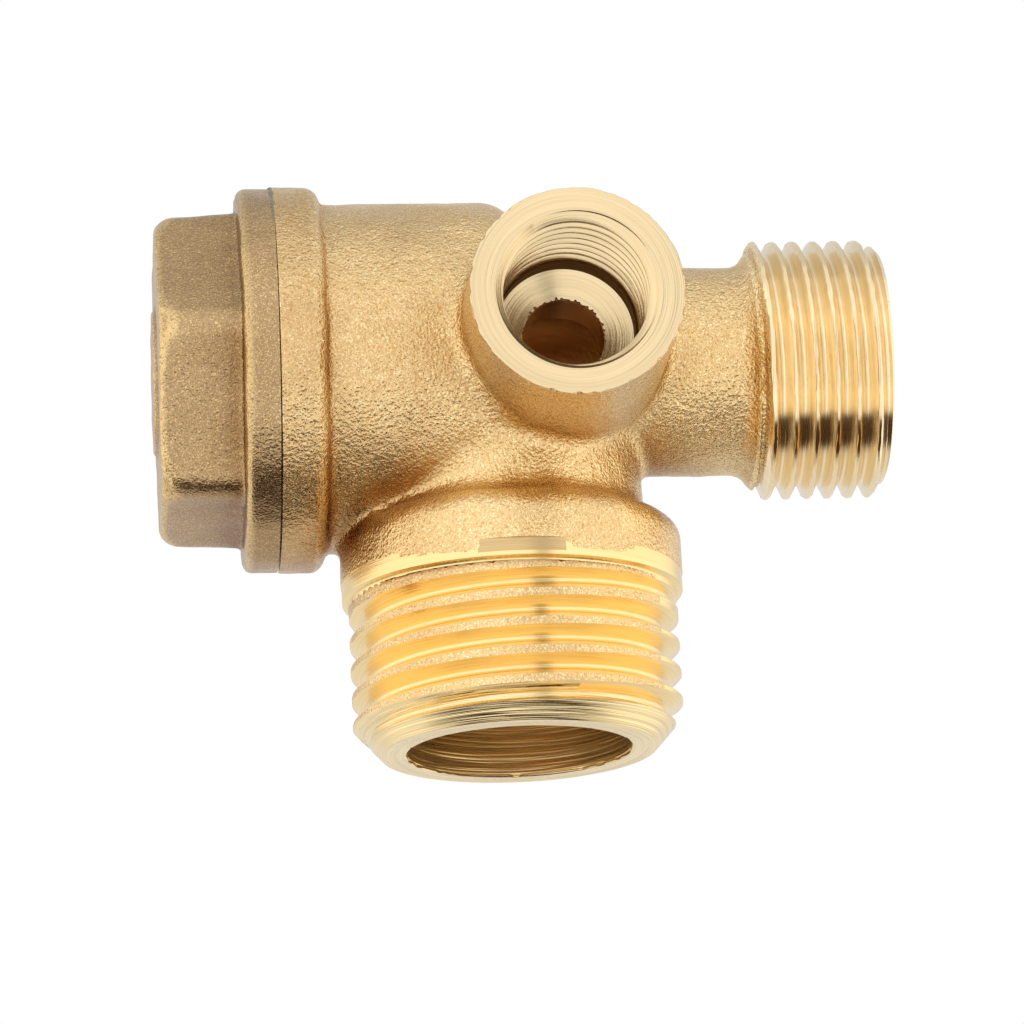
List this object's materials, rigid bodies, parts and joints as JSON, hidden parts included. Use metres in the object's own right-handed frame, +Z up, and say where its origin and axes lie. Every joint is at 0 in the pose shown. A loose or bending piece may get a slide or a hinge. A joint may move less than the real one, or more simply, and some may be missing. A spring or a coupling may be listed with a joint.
{
  "type": "non-return valve",
  "caption": "Three-port brass check valve with a spring-loaded poppet: pump inlet, tank outlet and unloader boss, closed by a hexagonal cap.",
  "frame": {"origin": "middle of the bounding box's underside, in the plane of the tank port's end face", "axes": "+X along the barrel towards the inlet port, -Y along the unloader boss, +Z up from the tank port"},
  "size_m": [0.0468, 0.03, 0.0371],
  "materials": {
    "cast_brass": "shot-blasted casting with machined ports",
    "dark_bronze": "dull darkened casting",
    "turned_brass": "turned",
    "black_rubber": "moulded nitrile",
    "spring_steel": "drawn stainless wire"
  },
  "bodies": {
    "housing": {"valve_body": "cast_brass", "hex_cap": "dark_bronze", "cap_seal_ring": "black_rubber", "return_spring": "spring_steel"},
    "poppet_unit": {"poppet": "turned_brass", "seal_disc": "black_rubber"}
  },
  "joints": [
    {"name": "poppet_slide", "type": "slide", "parent": "housing", "child": "poppet_unit", "axis": [-1, 0, 0], "range_m": [0, 0.004], "stiffness_N_per_m": 150, "springref_m": -0.003, "deforming": ["return_spring"]}
  ]
}
